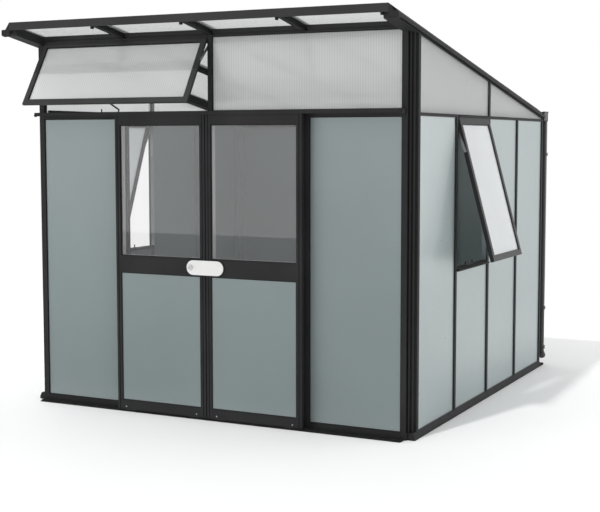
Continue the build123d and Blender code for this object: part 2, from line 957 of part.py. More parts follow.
# Stays of the vent: a bar from the sash to a peg on the hood, a second peg, and a steel arm at each end
with BuildPart() as vent_stays:
    peg_y = front_y - peg_setback
    vent_peg_x = -(module + vent_peg_offset)
    for peg_x in (vent_peg_x, vent_peg_x - peg_spacing):
        with Locations((peg_x, peg_y, rail_top + peg_height / 2)):
            Cylinder(peg_radius, peg_height)
    foot_across = vent_peg_x + vent_bar_offset - vent_left
    foot_down = vent_length - vent_bar_rise / 2
    sash_foot = vent_plane.from_local_coords((foot_across, foot_down, vent_thickness + stay_bar_thickness))
    flat_bar(
        (vent_peg_x, peg_y, rail_top + peg_height - stay_bar_thickness),
        (sash_foot.X, sash_foot.Y, sash_foot.Z),
        stay_bar_width,
        stay_bar_thickness,
        (0, 0, 1),
    )
    vent_middle_x = vent_left + vent_width / 2
    for side in (-1, 1):
        jamb_x = -web_width / 2 if side > 0 else -(post_x + panel_lap)
        strip = sorted((jamb_x, jamb_x - side * stay_thickness))
        strip_y = front_y + stay_inset
        pivot_z = plate_bottom - stay_pivot_drop
        fill(
            strip,
            (strip_y - stay_width / 2, strip_y + stay_width / 2),
            (pivot_z + stay_width - stay_strip_length, pivot_z + stay_width),
        )
        arm_x = vent_middle_x + side * (vent_width / 2 + stay_sash_gap + stay_thickness / 2)
        sash_end = vent_plane.from_local_coords((0, vent_stay_reach, vent_thickness / 2))
        flat_bar(
            (arm_x, strip_y, pivot_z),
            (arm_x, sash_end.Y, sash_end.Z),
            stay_width,
            stay_thickness,
            (1, 0, 0),
        )
        pin((jamb_x, strip_y, pivot_z), (-side, 0, 0), abs(jamb_x - arm_x))
finish(vent_stays.part, "vent_stays")

# Steel arms beside the side windows: a strip on each mullion and an arm that reaches to the sash
with BuildPart() as window_stays:
    window_middle_y = window_near + window_width / 2
    bay_middle_y = (window_bay[0] + window_bay[1]) / 2
    strip_x = side_x - stay_inset
    for side in (-1, 1):
        web_y = bay_middle_y + side * (module - web_width) / 2
        strip = sorted((web_y, web_y - side * stay_thickness))
        pivot_z = gable_rail_bottom - stay_pivot_drop
        fill(
            (strip_x - stay_width / 2, strip_x + stay_width / 2),
            strip,
            (pivot_z + stay_width - stay_strip_length, pivot_z + stay_width),
        )
        arm_y = window_middle_y + side * (window_width / 2 + stay_sash_gap + stay_thickness / 2)
        sash_end = window_plane.from_local_coords((0, window_stay_reach, window_thickness / 2))
        flat_bar(
            (strip_x, arm_y, pivot_z),
            (sash_end.X, arm_y, sash_end.Z),
            stay_width,
            stay_thickness,
            (0, 1, 0),
        )
        pin((strip_x, web_y, pivot_z), (0, -side, 0), abs(web_y - arm_y))
    mirror(about=Plane.YZ)
finish(window_stays.part, "window_stays")

# Door leaves
leaf_front = hood_front + hood_skin + leaf_clearance
leaf_back = leaf_front + leaf_thickness
leaf_bottom = track_height + leaf_floor_clearance
leaf_outer_edge = module + leaf_overlap
leaf_top = rail_top - hood_top_thickness - leaf_top_clearance
leaf_inner_edge = leaf_meeting_gap / 2
leaf_windows = (
    (leaf_bottom_rail_top, leaf_mid_rail_bottom),
    (leaf_mid_rail_top, door_head - leaf_head_sight),
)
leaf_opening = (leaf_inner_edge + leaf_stile, leaf_outer_edge - leaf_stile)


def leaf_frame():
    """Frame of the right-hand leaf: stiles, rails and a groove down each stile's face."""
    fill((leaf_inner_edge, leaf_outer_edge), (leaf_front, leaf_back), (leaf_bottom, leaf_top))
    for window in leaf_windows:
        fill(leaf_opening, (leaf_front, leaf_back), window, Mode.SUBTRACT)
    for stile_x in (leaf_inner_edge + leaf_stile / 2, leaf_outer_edge - leaf_stile / 2):
        fill(
            (stile_x - leaf_groove_width / 2, stile_x + leaf_groove_width / 2),
            (leaf_front, leaf_front + leaf_groove_depth),
            (leaf_bottom, leaf_top),
            Mode.SUBTRACT,
        )


def leaf_glass():
    """Clear upper pane of the right-hand leaf."""
    near = leaf_front + leaf_glass_setback
    fill(leaf_opening, (near, near + leaf_glass_thickness), leaf_windows[1])


def leaf_panel():
    """Solid lower panel of the right-hand leaf."""
    near = leaf_front + leaf_panel_setback
    fill(leaf_opening, (near, near + panel_thickness), leaf_windows[0])


def leaf_glides():
    """Glides under the right-hand leaf that run on the track."""
    glide_y = (leaf_front + leaf_back) / 2
    for glide_x in (leaf_inner_edge + glide_inset, leaf_outer_edge - glide_inset):
        fill(
            (glide_x - glide_length / 2, glide_x + glide_length / 2),
            (glide_y - glide_width / 2, glide_y + glide_width / 2),
            (track_height + glide_clearance, leaf_bottom),
        )


for piece, builder in (
    ("frame", leaf_frame),
    ("glass", leaf_glass),
    ("panel", leaf_panel),
    ("glides", leaf_glides),
):
    with BuildPart() as right_piece:
        builder()
    finish(right_piece.part, f"right_door_{piece}")
    with BuildPart() as left_piece:
        builder()
        mirror(about=Plane.YZ, mode=Mode.REPLACE)
    finish(left_piece.part, f"left_door_{piece}")

# Catch plate across the two leaves, which turns on the knob of the left-hand leaf
catch_back = leaf_front - catch_clearance
catch_level = (leaf_mid_rail_bottom + leaf_mid_rail_top) / 2
catch_pivot_x = -catch_length / 2 + catch_pivot_from_end
with BuildPart() as catch_plate:
    with BuildSketch(Plane.XZ.offset(-catch_back)):
        with Locations((0, catch_level)):
            SlotOverall(catch_length, catch_height)
        with Locations((catch_pivot_x, catch_level)):
            Circle(knob_shaft_radius + catch_fit, mode=Mode.SUBTRACT)
    extrude(amount=catch_thickness)
finish(catch_plate.part, "catch_plate")

# The knob's outline gives the radius and the distance in front of the leaf
with BuildPart() as catch_knob:
    collar_length = leaf_front - catch_back - catch_fit
    head_start = leaf_front - catch_back + catch_thickness + catch_fit
    head_end = head_start + knob_head_length
    knob_plane = Plane(origin=(catch_pivot_x, leaf_front, catch_level), x_dir=(1, 0, 0), z_dir=(0, 0, -1))
    with BuildSketch(knob_plane):
        with BuildLine():
            Polyline(
                (0, 0),
                (knob_collar_radius, 0),
                (knob_collar_radius, collar_length),
                (knob_shaft_radius, collar_length),
                (knob_shaft_radius, head_start),
                (knob_head_radius, head_start),
                (knob_head_radius, head_end - knob_edge),
                (knob_head_radius - knob_edge, head_end),
                (0, head_end),
                close=True,
            )
        make_face()
    revolve(axis=Axis((catch_pivot_x, leaf_front, catch_level), (0, 1, 0)))
finish(catch_knob.part, "catch_knob")
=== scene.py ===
"""Looks of a lean-to garden shed: finishes, small fittings, floor, light and camera. Metres."""

from __future__ import annotations

import json
import logging
import math
from dataclasses import dataclass
from enum import Enum
from typing import Callable, Iterable, Sequence

import bmesh
import bpy
from mathutils import Matrix, Vector

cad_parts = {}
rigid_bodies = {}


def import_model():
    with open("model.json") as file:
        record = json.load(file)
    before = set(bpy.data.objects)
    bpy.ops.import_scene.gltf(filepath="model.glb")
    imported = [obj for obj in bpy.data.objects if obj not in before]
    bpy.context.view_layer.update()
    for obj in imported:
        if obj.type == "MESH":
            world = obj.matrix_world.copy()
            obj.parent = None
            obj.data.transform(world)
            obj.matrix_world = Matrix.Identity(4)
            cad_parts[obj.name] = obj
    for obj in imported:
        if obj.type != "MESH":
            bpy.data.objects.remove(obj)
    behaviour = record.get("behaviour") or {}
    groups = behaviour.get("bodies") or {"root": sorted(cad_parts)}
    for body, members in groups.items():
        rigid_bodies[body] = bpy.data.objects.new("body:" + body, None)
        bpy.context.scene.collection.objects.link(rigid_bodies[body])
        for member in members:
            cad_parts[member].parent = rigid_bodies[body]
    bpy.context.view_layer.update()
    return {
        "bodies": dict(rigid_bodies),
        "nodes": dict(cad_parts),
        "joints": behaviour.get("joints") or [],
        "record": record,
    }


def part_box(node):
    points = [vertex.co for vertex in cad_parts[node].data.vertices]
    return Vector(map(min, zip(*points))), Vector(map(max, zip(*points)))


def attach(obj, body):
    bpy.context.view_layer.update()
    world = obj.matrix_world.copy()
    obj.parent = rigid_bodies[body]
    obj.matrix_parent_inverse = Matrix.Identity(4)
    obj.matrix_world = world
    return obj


log = logging.getLogger("shed")

Point = tuple[float, float, float]
Colour = tuple[float, float, float]
Piece = bpy.types.Object
Socket = bpy.types.NodeSocket
Inputs = dict[str | int, Socket | float | Sequence[float]]

MERGE = 0.00001
"""Vertices closer than this many metres become one."""
FACING = 0.9
"""A face looks along an axis when its normal has more than this share of it."""
FLAT = 0.999
"""The same for the flat middle of a disc, past its rounded rim."""
WAVE = 20
"""Radians that Blender's wave texture turns through in a metre at scale 1."""
SCHLICK = 5.0
"""Power that the mirrored share follows as a view gets flatter."""


def srgb(red: int, green: int, blue: int) -> Colour:
    """Turn display values from 0 to 255 into the linear colour that a shader takes.

    Args:
        red: Red as shown on screen.
        green: Green as shown on screen.
        blue: Blue as shown on screen.

    Returns:
        The three linear values from 0 to 1.
    """
    def channel(value: int) -> float:
        """Linear value of one channel."""
        share = value / 255
        return share / 12.92 if share <= 0.04045 else ((share + 0.055) / 1.055) ** 2.4

    return channel(red), channel(green), channel(blue)


def darker(colour: Colour, share: float) -> Colour:
    """Same hue at a share of its brightness."""
    return colour[0] * share, colour[1] * share, colour[2] * share


class Axis(Enum):
    """Direction that a pattern or a fitting runs along."""

    X = 0
    Y = 1
    Z = 2


class Graph:
    """Node tree of one material or world, with short calls for the nodes that the finishes share."""

    def __init__(
        self, owner: bpy.types.Material | bpy.types.World, output: str = "ShaderNodeOutputMaterial"
    ) -> None:
        """Start an empty tree.

        Args:
            owner: The material or world that it belongs to.
            output: Blender's name for its output node.
        """
        owner.use_nodes = True
        self.owner = owner
        self.tree = owner.node_tree
        self.tree.nodes.clear()
        self.output = self.node(output)
        self.coordinates = self.node("ShaderNodeTexCoord").outputs
        self.place = self.coordinates["Object"]

    def node(self, kind: str, inputs: Inputs | None = None, **settings: object) -> bpy.types.Node:
        """Add a node.

        Args:
            kind: Blender's name for the node type.
            inputs: What each input takes: a number, a colour, or an output to join it to.
            **settings: Properties to set on the node.

        Returns:
            The new node.
        """
        made = self.tree.nodes.new(kind)
        for key, value in settings.items():
            setattr(made, key, value)
        for key, value in (inputs or {}).items():
            if isinstance(value, Socket):
                self.tree.links.new(value, made.inputs[key])
            else:
                made.inputs[key].default_value = value
        return made

    def shader(self, kind: str, inputs: Inputs) -> Socket:
        """Add a shader of that kind and give its output."""
        return self.node(f"ShaderNode{kind}", inputs).outputs[0]

    def finished(self, surface: Socket) -> bpy.types.Material | bpy.types.World:
        """Join a shader to the output and give what the tree belongs to."""
        self.tree.links.new(surface, self.output.inputs["Surface"])
        return self.owner

    def stretched(self, scale: Point) -> Socket:
        """Object coordinates multiplied on each axis, for grain that runs one way."""
        return self.node("ShaderNodeMapping", {"Scale": scale, "Vector": self.place}).outputs["Vector"]

    def noise(self, scale: float, detail: float = 3.0, place: Socket | None = None) -> Socket:
        """Noise on the object's own coordinates.

        Args:
            scale: Spots per metre, roughly.
            detail: Octaves of finer noise.
            place: Coordinates to read, if not the plain ones.

        Returns:
            The noise value from 0 to 1.
        """
        inputs = {"Scale": scale, "Detail": detail, "Vector": place or self.place}
        return self.node("ShaderNodeTexNoise", inputs).outputs["Fac"]

    def ramp(
        self, value: Socket, low: Colour, high: Colour, start: float = 0.3, end: float = 0.7
    ) -> Socket:
        """Colour that goes from low to high as a value rises.

        Args:
            value: The value to read.
            low: Colour at start and below.
            high: Colour at end and above.
            start: Value where the change begins.
            end: Value where the change is over.

        Returns:
            The colour.
        """
        made = self.node("ShaderNodeValToRGB", {"Fac": value})
        stops = made.color_ramp.elements
        stops[0].position, stops[0].color = start, (*low, 1)
        stops[1].position, stops[1].color = end, (*high, 1)
        return made.outputs["Color"]

    def between(self, value: Socket, low: float, high: float) -> Socket:
        """A value from 0 to 1 spread between two limits."""
        inputs = {"To Min": low, "To Max": high, "Value": value}
        return self.node("ShaderNodeMapRange", inputs).outputs["Result"]

    def sheen(self, scale: float, middle: float, spread: float) -> Socket:
        """Roughness that wanders about a middle value."""
        return self.between(self.noise(scale), middle - spread, middle + spread)

    def maths(self, operation: str, first: Socket, second: Socket | float) -> Socket:
        """Two values worked into one."""
        return self.node("ShaderNodeMath", {0: first, 1: second}, operation=operation).outputs["Value"]

    def multiplied(self, first: Socket, second: Socket) -> Socket:
        """Two colours multiplied."""
        inputs = {"Factor": 1.0, 6: first, 7: second}
        return self.node("ShaderNodeMix", inputs, data_type="RGBA", blend_type="MULTIPLY").outputs[2]

    def bump(self, height: Socket, strength: float, depth: float) -> Socket:
        """Surface relief.

        Args:
            height: Height from 0 to 1.
            strength: Share of the relief that shows.
            depth: Metres between height 0 and 1.

        Returns:
            The bumped normal.
        """
        inputs = {"Strength": strength, "Distance": depth, "Height": height}
        return self.node("ShaderNodeBump", inputs).outputs["Normal"]

    def flutes(self, axis: Axis, pitch: float) -> Socket:
        """Even bands across an axis.

        Args:
            axis: Axis that the bands follow one another along.
            pitch: Metres from one band to the next.

        Returns:
            A value that swings from 0 to 1 once a band.
        """
        inputs = {"Scale": 2 * math.pi / (WAVE * pitch), "Vector": self.place}
        return self.node(
            "ShaderNodeTexWave", inputs, wave_type="BANDS", bands_direction=axis.name
        ).outputs["Fac"]

    def mixed(self, share: Socket | float, first: Socket, second: Socket) -> Socket:
        """Two shaders mixed.

        Args:
            share: Share of the second one.
            first: Shader that shows at share 0.
            second: Shader that shows at share 1.

        Returns:
            The mixed shader.
        """
        return self.shader("MixShader", {"Fac": share, 1: first, 2: second})

    def mirrored(self, index: float) -> Socket:
        """Share of light that a smooth face mirrors, alike on the near and far face of a thin solid.

        Args:
            index: Refractive index of the material.

        Returns:
            The share, which grows as the view gets flatter.
        """
        straight = ((index - 1) / (index + 1)) ** 2
        facing = self.node("ShaderNodeLayerWeight", {"Blend": 0.5}).outputs["Facing"]
        return self.between(self.maths("POWER", facing, SCHLICK), straight, 1.0)


@dataclass(frozen=True)
class Cloud:
    """Patchy tone: noise of one scale and detail, between two shares of a colour."""

    scale: float
    detail: float
    low: float
    high: float
    stretch: Point = (1.0, 1.0, 1.0)

    def value(self, graph: Graph) -> Socket:
        """The noise itself."""
        place = graph.place if self.stretch == (1.0, 1.0, 1.0) else graph.stretched(self.stretch)
        return graph.noise(self.scale, self.detail, place)

    def tone(self, graph: Graph, colour: Colour, value: Socket | None = None) -> Socket:
        """The colour with its patches, from the noise or from a value that is there already."""
        shares = darker(colour, self.low), darker(colour, self.high)
        return graph.ramp(value or self.value(graph), *shares)


@dataclass(frozen=True)
class PowderCoat:
    """Satin powder coat on an extruded profile: cloudy tone and fine orange peel."""

    name: str
    colour: Colour
    roughness: float = 0.56
    index: float = 1.1
    cloud: Cloud = Cloud(3.5, 4.0, 0.88, 1.12)
    sheen_scale: float = 40.0
    sheen_spread: float = 0.06
    relief_scale: float = 900.0
    relief_detail: float = 2.0
    relief_share: float = 0.15
    relief_depth: float = 0.0004

    def material(self) -> bpy.types.Material:
        """Build the finish.

        Returns:
            The material.
        """
        graph = Graph(bpy.data.materials.new(self.name))
        relief = graph.noise(self.relief_scale, self.relief_detail)
        return graph.finished(graph.shader("BsdfPrincipled", {
            "Base Color": self.cloud.tone(graph, self.colour),
            "Roughness": graph.sheen(self.sheen_scale, self.roughness, self.sheen_spread),
            "IOR": self.index,
            "Normal": graph.bump(relief, self.relief_share, self.relief_depth),
        }))


@dataclass(frozen=True)
class CoatedSheet(PowderCoat):
    """Smooth opaque wall sheet with a soft gloss and a very slight unevenness."""

    roughness: float = 0.3
    index: float = 1.8
    cloud: Cloud = Cloud(1.3, 2.0, 0.96, 1.03)
    sheen_scale: float = 14.0
    sheen_spread: float = 0.05
    relief_scale: float = 2.2
    relief_detail: float = 1.0
    relief_share: float = 0.1
    relief_depth: float = 0.002


@dataclass(frozen=True)
class MouldedPlastic(PowderCoat):
    """Moulded plastic or rubber with a fine matt grain."""

    roughness: float = 0.515
    index: float = 1.48
    cloud: Cloud = Cloud(22.0, 3.0, 0.93, 1.0)
    sheen_scale: float = 120.0
    sheen_spread: float = 0.065
    relief_scale: float = 1500.0
    relief_share: float = 0.2
    relief_depth: float = 0.0002


@dataclass(frozen=True)
class FlutedSheet:
    """Translucent multiwall sheet: it scatters light back and on, and its channels show as fine bands."""

    name: str
    colour: Colour
    across: Axis
    through: float = 0.75
    clear: float = 0.1
    pitch: float = 0.016
    roughness: float = 0.25
    index: float = 1.4
    line_shade: float = 0.9
    line_end: float = 0.45
    cloud: Cloud = Cloud(1.7, 2.0, 0.96, 1.0)
    sheen_scale: float = 25.0
    sheen_spread: float = 0.05
    relief_share: float = 0.12
    relief_depth: float = 0.0004

    def material(self) -> bpy.types.Material:
        """Build the finish.

        Returns:
            The material.
        """
        graph = Graph(bpy.data.materials.new(self.name))
        band = graph.flutes(self.across, self.pitch)
        lines = graph.ramp(band, darker(self.colour, self.line_shade), self.colour, 0.0, self.line_end)
        tone = graph.multiplied(lines, self.cloud.tone(graph, (1.0, 1.0, 1.0)))
        relief = graph.bump(band, self.relief_share, self.relief_depth)
        sheen = graph.sheen(self.sheen_scale, self.roughness, self.sheen_spread)
        back = graph.shader("BsdfDiffuse", {"Color": tone, "Normal": relief})
        onward = graph.shader("BsdfTranslucent", {"Color": tone})
        gloss = graph.shader("BsdfGlossy", {"Roughness": sheen, "Normal": relief})
        milk = graph.mixed(self.through, back, onward)
        face = graph.mixed(graph.mirrored(self.index), milk, gloss)
        return graph.finished(graph.mixed(self.clear, face, graph.shader("BsdfTransparent", {})))


@dataclass(frozen=True)
class MilkyPane:
    """Translucent flat pane: it scatters light back and through, under a smooth gloss."""

    name: str
    colour: Colour
    through: float = 0.6
    index: float = 1.5
    roughness: float = 0.08
    sheen_spread: float = 0.06
    cloud: Cloud = Cloud(2.5, 4.0, 0.97, 1.03, (1.0, 1.0, 0.3))

    def material(self) -> bpy.types.Material:
        """Build the finish.

        Returns:
            The material.
        """
        graph = Graph(bpy.data.materials.new(self.name))
        haze = self.cloud.value(graph)
        tone = self.cloud.tone(graph, self.colour, haze)
        sheen = graph.between(haze, self.roughness, self.roughness + self.sheen_spread)
        back = graph.shader("BsdfDiffuse", {"Color": tone})
        onward = graph.shader("BsdfTranslucent", {"Color": tone})
        milk = graph.mixed(self.through, back, onward)
        gloss = graph.shader("BsdfGlossy", {"Roughness": sheen})
        return graph.finished(graph.mixed(graph.mirrored(self.index), milk, gloss))


@dataclass(frozen=True)
class TintedGlass:
    """Hazy tinted glass: a clear share, a grey haze and a mirror share that grows at a slant."""

    name: str
    haze_colour: Colour
    haze: float = 0.1
    index: float = 1.56
    roughest: float = 0.02
    cloud: Cloud = Cloud(2.5, 4.0, 0.96, 1.03, (1.0, 1.0, 0.3))

    def material(self) -> bpy.types.Material:
        """Build the finish.

        Returns:
            The material.
        """
        graph = Graph(bpy.data.materials.new(self.name))
        value = self.cloud.value(graph)
        haze = graph.shader("BsdfDiffuse", {"Color": self.cloud.tone(graph, self.haze_colour, value)})
        body = graph.mixed(self.haze, graph.shader("BsdfTransparent", {}), haze)
        mirror = graph.shader("BsdfGlossy", {"Roughness": graph.between(value, 0.0, self.roughest)})
        return graph.finished(graph.mixed(graph.mirrored(self.index), body, mirror))


@dataclass(frozen=True)
class RolledSteel:
    """Bright rolled steel with a grain along one axis."""

    name: str
    colour: Colour
    along: Axis = Axis.Z
    roughness: float = 0.34
    grain_across: float = 900.0
    grain_along: float = 12.0
    grain_detail: float = 2.0
    grain_shade: float = 0.8
    sheen_range: tuple[float, float] = (-0.08, 0.1)

    def material(self) -> bpy.types.Material:
        """Build the finish.

        Returns:
            The material.
        """
        graph = Graph(bpy.data.materials.new(self.name))
        stretch = [self.grain_across] * 3
        stretch[self.along.value] = self.grain_along
        grain = graph.noise(1.0, self.grain_detail, graph.stretched(tuple(stretch)))
        smooth, rough = (self.roughness + step for step in self.sheen_range)
        return graph.finished(graph.shader("BsdfPrincipled", {
            "Metallic": 1.0,
            "Base Color": graph.ramp(grain, darker(self.colour, self.grain_shade), self.colour),
            "Roughness": graph.between(grain, smooth, rough),
        }))


class Finish(Enum):
    """The shed's finishes."""

    FRAME = PowderCoat("frame_coat", srgb(52, 52, 53))
    SASH = PowderCoat("sash_coat", srgb(54, 54, 55), 0.5, 1.22)
    SHEET = CoatedSheet("wall_sheet", srgb(133, 145, 146))
    FRONT_GLAZING = FlutedSheet("front_fluted_sheet", srgb(243, 245, 244), Axis.X, 0.6, 0.2)
    GABLE_GLAZING = FlutedSheet("gable_fluted_sheet", srgb(225, 227, 226), Axis.Y, 0.72, 0.15)
    ROOF_SHEET = FlutedSheet("roof_fluted_sheet", srgb(226, 228, 228), Axis.X, 0.75, 0.58)
    WINDOW = MilkyPane("window_pane", srgb(245, 247, 248), 0.48, 1.9)
    DOOR_GLASS = TintedGlass("door_glass", srgb(202, 202, 202))
    BLACK = MouldedPlastic("black_plastic", srgb(30, 30, 31))
    WHITE = MouldedPlastic("white_plastic", srgb(238, 238, 237), 0.415, cloud=Cloud(22.0, 3.0, 0.985, 1.0))
    # Grey of the glass bead, also used as painted shade round the catch knob.
    BEAD = MouldedPlastic("grey_bead", srgb(205, 206, 206), 0.465)
    STEEL = RolledSteel("stay_steel", srgb(190, 191, 193))


"""The record's material slot that a new piece in each finish belongs to."""


class Workshop:
    """Builds each finish once, dresses pieces in it and sets new pieces on their bodies."""

    def __init__(self, frame: dict) -> None:
        """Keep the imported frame.
        """
        self.frame = frame
        self.made: dict[Finish, bpy.types.Material] = {}

    def finish(self, finish: Finish) -> bpy.types.Material:
        """Find the material of a finish, and build it on first use.

        Args:
            finish: The finish.

        Returns:
            Its material.
        """
        if finish not in self.made:
            self.made[finish] = finish.value.material()
        return self.made[finish]

    def dress(self, piece: Piece, finish: Finish) -> None:
        """Give a whole piece one finish."""
        piece.data.materials.clear()
        piece.data.materials.append(self.finish(finish))

    def dress_nodes(self, names: Iterable[str], finish: Finish) -> None:
        """Give CAD nodes a finish.

        Args:
            names: Names of the nodes.
            finish: The finish they take.
        """
        for name in names:
            self.dress(self.frame["nodes"][name], finish)
            log.info("node %s: %s", name, finish.name)

    def dress_faces(self, name: str, finish: Finish, chosen: Callable[[Vector], bool]) -> None:
        """Give some faces of a CAD node a second finish.

        Args:
            name: Name of the node.
            finish: The finish they take.
            chosen: Tells from the middle of a face whether it is one of them.
        """
        mesh = self.frame["nodes"][name].data
        mesh.materials.append(self.finish(finish))
        for face in mesh.polygons:
            if chosen(face.center):
                face.material_index = 1

    def fit(self, finish: Finish, *pieces: Piece, body: str = "shed") -> None:
        """Dress new pieces, set them on a body and report them.

        Args:
            finish: The finish they take.
            *pieces: The finished meshes, each placed in its own mesh data.
            body: The body that they move with.
        """
        for piece in pieces:
            self.dress(piece, finish)
            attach(piece, body)
            log.info("piece %s on %s: %d faces", piece.name, body, len(piece.data.polygons))


@dataclass(frozen=True)
class Head:
    """Sizes of a round head: its radius, how far it stands out and how deep its middle is dished."""

    radius: float
    height: float
    dish: float
    sides: int = 20
    rim: float = 0.35
    land: float = 0.3
    slope: float = 0.08


class Bench:
    """Models small fittings with edit operators. Each comes out at the origin with its place in its mesh."""

    @staticmethod
    def open_mesh(piece: Piece) -> bmesh.types.BMesh:
        """Go into edit mode with nothing selected.

        Args:
            piece: The piece to edit.

        Returns:
            Its edit mesh, for choosing faces and edges by place.
        """
        bpy.ops.object.mode_set(mode="EDIT")
        bpy.ops.mesh.select_all(action="DESELECT")
        return bmesh.from_edit_mesh(piece.data)

    @staticmethod
    def close_mesh() -> None:
        """Merge doubles, turn the faces outwards and leave edit mode."""
        bpy.ops.mesh.select_all(action="SELECT")
        bpy.ops.mesh.remove_doubles(threshold=MERGE)
        bpy.ops.mesh.normals_make_consistent(inside=False)
        bpy.ops.object.mode_set(mode="OBJECT")

    @staticmethod
    def choose(piece: Piece, faces: Iterable[bmesh.types.BMFace]) -> None:
        """Select faces.

        Args:
            piece: The piece in edit mode.
            faces: Faces of its edit mesh.
        """
        for face in faces:
            face.select_set(True)
        bmesh.update_edit_mesh(piece.data)

    @staticmethod
    def cube(name: str, low: Point, high: Point) -> Piece:
        """Sharp block to work on.

        Args:
            name: Name of the piece.
            low: Lowest corner.
            high: Highest corner.

        Returns:
            The block, with its place and size in its mesh.
        """
        centre = [(a + b) / 2 for a, b in zip(low, high)]
        bpy.ops.mesh.primitive_cube_add(size=1, location=centre)
        piece = bpy.context.object
        piece.name = name
        piece.scale = [b - a for a, b in zip(low, high)]
        bpy.ops.object.transform_apply(location=True, rotation=True, scale=True)
        return piece

    def block(self, name: str, low: Point, high: Point, bevel: float) -> Piece:
        """Block with rounded edges.

        Args:
            name: Name of the piece.
            low: Lowest corner.
            high: Highest corner.
            bevel: Width of the rounding.

        Returns:
            The block.
        """
        piece = self.cube(name, low, high)
        self.open_mesh(piece)
        bpy.ops.mesh.select_all(action="SELECT")
        bpy.ops.mesh.bevel(offset=bevel, segments=2, affect="EDGES")
        self.close_mesh()
        return piece

    def ring(
        self, name: str, low: Point, high: Point, across: Axis, width: float, bevel: float = 0.001
    ) -> Piece:
        """Flat frame with rounded edges, such as a gasket round a pane.

        Args:
            name: Name of the piece.
            low: Lowest corner of the whole ring.
            high: Highest corner of the whole ring.
            across: Axis that its hole runs along.
            width: Width of its bars.
            bevel: Width of the rounding.

        Returns:
            The ring.
        """
        piece = self.cube(name, low, high)
        mesh = self.open_mesh(piece)
        self.choose(piece, [face for face in mesh.faces if abs(face.normal[across.value]) > FACING])
        bpy.ops.mesh.inset(thickness=width, use_individual=True)
        bpy.ops.mesh.bridge_edge_loops()
        bpy.ops.mesh.select_all(action="SELECT")
        bpy.ops.mesh.bevel(offset=bevel, segments=1, affect="EDGES")
        self.close_mesh()
        return piece

    def disc(self, name: str, centre: Point, facing: Point, head: Head) -> Piece:
        """Round head with a rounded rim and a dished middle, such as a screw, a cap or a plug.

        Args:
            name: Name of the piece.
            centre: Middle of its foot.
            facing: Direction that its face looks in.
            head: Its sizes.

        Returns:
            The disc.
        """
        out = Vector(facing).normalized()
        bpy.ops.mesh.primitive_cylinder_add(
            vertices=head.sides, radius=head.radius, depth=head.height,
            location=Vector(centre) + out * head.height / 2,
            rotation=Vector(facing).to_track_quat("Z", "Y").to_euler(),
        )
        piece = bpy.context.object
        piece.name = name
        bpy.ops.object.transform_apply(location=True, rotation=True, scale=True)
        mesh = self.open_mesh(piece)
        self.choose(piece, [face for face in mesh.faces if face.normal.dot(out) > FACING])
        bpy.ops.mesh.bevel(offset=min(head.radius, head.height) * head.rim, segments=2, affect="EDGES")
        bpy.ops.mesh.select_all(action="DESELECT")
        mesh = bmesh.from_edit_mesh(piece.data)
        self.choose(piece, [face for face in mesh.faces if face.normal.dot(out) > FLAT])
        bpy.ops.mesh.inset(thickness=head.radius * head.land)
        bpy.ops.mesh.inset(thickness=head.radius * head.slope, depth=-head.dish)
        self.close_mesh()
        return piece

    def swing(self, piece: Piece, axis: Axis, degrees: float, hinge: Point) -> None:
        """Turn a whole piece about a hinge, in its mesh.

        Args:
            piece: The piece to turn.
            axis: Axis that the hinge runs along.
            degrees: Angle of the turn, right-handed about that axis.
            hinge: A point on the hinge.
        """
        bpy.ops.object.select_all(action="DESELECT")
        piece.select_set(True)
        bpy.context.view_layer.objects.active = piece
        self.open_mesh(piece)
        bpy.ops.mesh.select_all(action="SELECT")
        bpy.ops.transform.rotate(value=-math.radians(degrees), orient_axis=axis.name, center_override=hinge)
        bpy.ops.object.mode_set(mode="OBJECT")

    @staticmethod
    def copies(piece: Piece, offsets: Iterable[Point]) -> list[Piece]:
        """The piece and a copy of it, with a mesh of its own, at each offset.

        Args:
            piece: The piece as first modelled.
            offsets: How far each copy is from it.

        Returns:
            The piece followed by its copies.
        """
        made = [piece]
        for number, offset in enumerate(offsets, start=2):
            twin = piece.copy()
            twin.data = piece.data.copy()
            twin.name = f"{piece.name}_{number}"
            twin.data.transform(Matrix.Translation(offset))
            bpy.context.collection.objects.link(twin)
            made.append(twin)
        return made

    def twin(self, piece: Piece, shift: float) -> Piece:
        """Copy of a piece for the other side of the shed, named for that side.

        Args:
            piece: The piece, with left or right in its name.
            shift: How far along x the copy is from it.

        Returns:
            The copy.
        """
        sides = ("right", "left") if "right" in piece.name else ("left", "right")
        made = self.copies(piece, [(shift, 0, 0)])[1]
        made.name = piece.name.replace(*sides)
        return made


@dataclass
class Assembly:
    """Part of the shed, made with the finishes of a shop and the tools of a bench."""

    shop: Workshop
    bench: Bench


